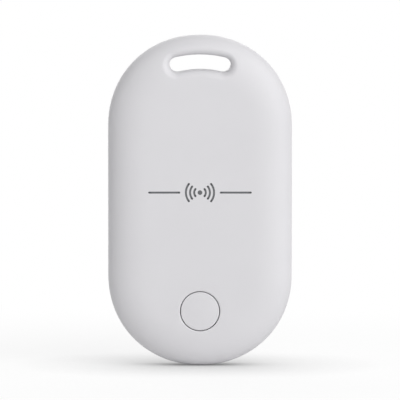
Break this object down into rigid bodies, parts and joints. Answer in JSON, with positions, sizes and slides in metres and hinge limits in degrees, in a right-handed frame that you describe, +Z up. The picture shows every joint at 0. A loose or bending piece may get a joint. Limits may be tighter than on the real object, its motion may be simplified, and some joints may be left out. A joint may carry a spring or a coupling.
{
  "type": "bluetooth tracker tag",
  "caption": "Pill-shaped key-ring tracker tag with a rolled key slot, a flush press button and a round turn-and-lift battery door.",
  "frame": {"origin": "under the middle of the tag, at the lowest point of its lower round end and halfway through its thickness", "axes": "+Z up towards the key slot, -Y out of the face with the button, +Y out of the battery door, +X to the right seen from the front"},
  "size_m": [0.032, 0.0084, 0.0576],
  "materials": {
    "shell_white": "fine matt moulded ABS, cool white",
    "door_white": "fine matt moulded ABS, cool white",
    "button_white": "fine matt moulded ABS, cool white",
    "silicone": "matt grey silicone",
    "black_nylon": "matt black glass-filled nylon",
    "bright_steel": "nickel-plated steel",
    "screw_steel": "zinc-plated steel",
    "cell_steel": "bright rolled steel with a fine grain",
    "solder_mask": "green solder mask on glass laminate",
    "chip_resin": "black moulding resin",
    "chip_ceramic": "fired ceramic with tinned ends",
    "ferrite": "dark ferrite",
    "lithium": "dull soft metal",
    "separator_film": "thin white film",
    "cathode_mix": "pressed dark powder",
    "spring_bronze": "gold-plated bronze strip",
    "rolled_brass": "rolled brass",
    "silvered_ceramic": "fired silver on ceramic"
  },
  "bodies": {
    "housing": {"front_shell": "shell_white", "rear_cover": "shell_white", "shell_gasket": "silicone", "switch_base": "black_nylon", "switch_cover": "bright_steel", "switch_dome": "bright_steel", "switch_leg_1": "bright_steel", "switch_leg_2": "bright_steel", "switch_leg_3": "bright_steel", "switch_leg_4": "bright_steel", "circuit_board": "solder_mask", "cell_tray": "black_nylon", "tray_screw_1": "screw_steel", "tray_screw_2": "screw_steel", "tray_screw_3": "screw_steel", "tray_screw_4": "screw_steel", "radio_chip": "chip_resin", "main_crystal": "bright_steel", "clock_crystal": "bright_steel", "inductor": "ferrite", "capacitor_1": "chip_ceramic", "capacitor_2": "chip_ceramic", "capacitor_3": "chip_ceramic", "capacitor_4": "chip_ceramic", "resistor_1": "chip_resin", "resistor_2": "chip_resin", "chip_antenna": "chip_ceramic", "negative_contact": "spring_bronze", "positive_contact": "spring_bronze", "sounder_adhesive": "silicone", "sounder_plate": "rolled_brass", "sounder_ceramic": "silvered_ceramic", "sounder_spring_1": "spring_bronze", "sounder_spring_2": "spring_bronze"},
    "button": {"button_cap": "button_white", "button_pad": "silicone"},
    "plunger": {"switch_plunger": "black_nylon"},
    "door_seal": {"battery_door_seal": "silicone"},
    "door": {"battery_door": "door_white"},
    "cell": {"cell_can": "cell_steel", "cell_cap": "cell_steel", "cell_gasket": "silicone", "cell_anode": "lithium", "cell_separator": "separator_film", "cell_cathode": "cathode_mix"}
  },
  "joints": [
    {"name": "button_press", "type": "slide", "parent": "housing", "child": "button", "axis": [0, 1, 0], "range_m": [0, 0.0003], "stiffness_N_per_m": 2500, "springref_m": -0.0003},
    {"name": "switch_press", "type": "slide", "parent": "housing", "child": "plunger", "axis": [0, 1, 0], "range_m": [0, 0.0003], "deforming": ["switch_dome"]},
    {"name": "battery_door_lift", "type": "slide", "parent": "housing", "child": "door_seal", "axis": [0, 1, 0], "range_m": [0, 0.012]},
    {"name": "battery_door_turn", "type": "hinge", "parent": "door_seal", "child": "door", "pos_m": [0, 0.0042, 0.03194], "axis": [0, -1, 0], "range_deg": [0, 30]},
    {"name": "cell_lift", "type": "slide", "parent": "housing", "child": "cell", "axis": [0, 1, 0], "range_m": [0, 0.006]}
  ],
  "couplings": [
    {"joint": "switch_press", "follows": "button_press", "ratio": 1},
    {"joint": "cell_lift", "follows": "battery_door_lift", "ratio": 0.5}
  ]
}
